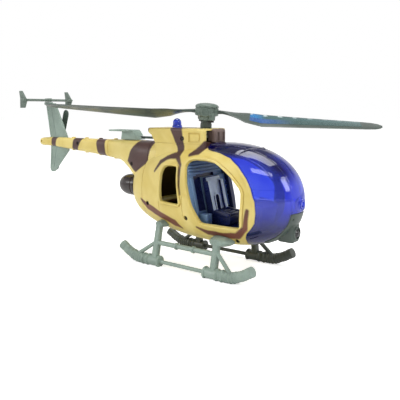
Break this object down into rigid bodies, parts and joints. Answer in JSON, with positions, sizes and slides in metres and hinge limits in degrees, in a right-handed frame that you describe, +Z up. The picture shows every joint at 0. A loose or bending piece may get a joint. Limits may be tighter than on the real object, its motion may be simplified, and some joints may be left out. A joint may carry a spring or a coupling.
{
  "type": "toy helicopter",
  "caption": "Toy scout helicopter: two-part cabin and boom shell, blue bubble windshield, skids, tail, and a two-blade rotor spun by a sprung thumb slider through a rack and gears.",
  "frame": {"origin": "middle of the bounding box in X and Y, on the surface that the skids stand on", "axes": "+X towards the nose, +Y to the pilot's left, +Z up"},
  "size_m": [0.3358, 0.1362, 0.145],
  "materials": {
    "sand_plastic": "semi-gloss sand-yellow ABS with sprayed brown camouflage",
    "grey_plastic": "satin grey-green moulded plastic",
    "dark_grey_plastic": "satin dark grey-green moulded plastic",
    "blue_clear_plastic": "clear blue polished plastic",
    "cockpit_plastic": "satin blue-grey moulded plastic",
    "dark_brown_plastic": "polished brown-black plastic",
    "black_plastic": "polished black plastic",
    "white_nylon": "natural nylon",
    "screw_steel": "blackened steel"
  },
  "bodies": {
    "airframe": {"body_shell_right": "sand_plastic", "body_shell_left": "sand_plastic", "air_intake": "sand_plastic", "chin_fairing": "grey_plastic", "tail_fin": "grey_plastic", "tail_stabilizer": "grey_plastic", "landing_skid_right": "grey_plastic", "landing_skid_left": "grey_plastic", "windshield": "blue_clear_plastic", "beacon_lens": "blue_clear_plastic", "cockpit_tub": "cockpit_plastic", "pilot_seat": "cockpit_plastic", "instrument_console": "cockpit_plastic", "exhaust_nozzle": "dark_brown_plastic", "nose_camera_lens": "black_plastic", "gear_cradle": "white_nylon", "mast_bush": "white_nylon", "tail_rotor_pin": "screw_steel", "idler_axle": "screw_steel", "return_spring": "screw_steel", "cradle_screw": "screw_steel", "shell_screw_1": "screw_steel", "shell_screw_2": "screw_steel", "shell_screw_3": "screw_steel", "shell_screw_4": "screw_steel", "shell_screw_5": "screw_steel"},
    "thumb_slider": {"spin_lever": "grey_plastic", "spin_rack": "white_nylon"},
    "idler": {"idler_gear": "white_nylon"},
    "clutch_gear": {"drive_gear": "white_nylon"},
    "main_rotor": {"rotor_mast": "grey_plastic", "rotor_hub": "dark_grey_plastic", "rotor_hub_cap": "dark_grey_plastic", "rotor_blade_1": "dark_grey_plastic", "rotor_blade_2": "dark_grey_plastic", "hub_screw_1": "screw_steel", "hub_screw_2": "screw_steel"},
    "rear_rotor": {"tail_rotor": "grey_plastic"}
  },
  "joints": [
    {"name": "slider_travel", "type": "slide", "parent": "airframe", "child": "thumb_slider", "axis": [1, 0, 0], "range_m": [0, 0.014], "stiffness_N_per_m": 60, "springref_m": -0.003, "deforming": ["return_spring"]},
    {"name": "idler_spin", "type": "hinge", "parent": "airframe", "child": "idler", "pos_m": [0.03539, 0, 0.10489], "axis": [0.0715, 0, 0.9974], "range_deg": [-290, 5]},
    {"name": "clutch_gear_spin", "type": "hinge", "parent": "airframe", "child": "clutch_gear", "pos_m": [0.0482, 0, 0.115], "axis": [0.0715, 0, 0.9974], "range_deg": [-5, 695]},
    {"name": "rotor_spin", "type": "hinge", "parent": "airframe", "child": "main_rotor", "pos_m": [0.0482, 0, 0.115], "axis": [0.0715, 0, 0.9974], "continuous": true},
    {"name": "tail_rotor_spin", "type": "hinge", "parent": "airframe", "child": "rear_rotor", "pos_m": [-0.1463, 0.0082, 0.095], "axis": [0, 1, 0], "continuous": true}
  ],
  "couplings": [
    {"joint": "idler_spin", "follows": "slider_travel", "rad_per_m": -357.14},
    {"joint": "clutch_gear_spin", "follows": "slider_travel", "rad_per_m": 857.14}
  ]
}
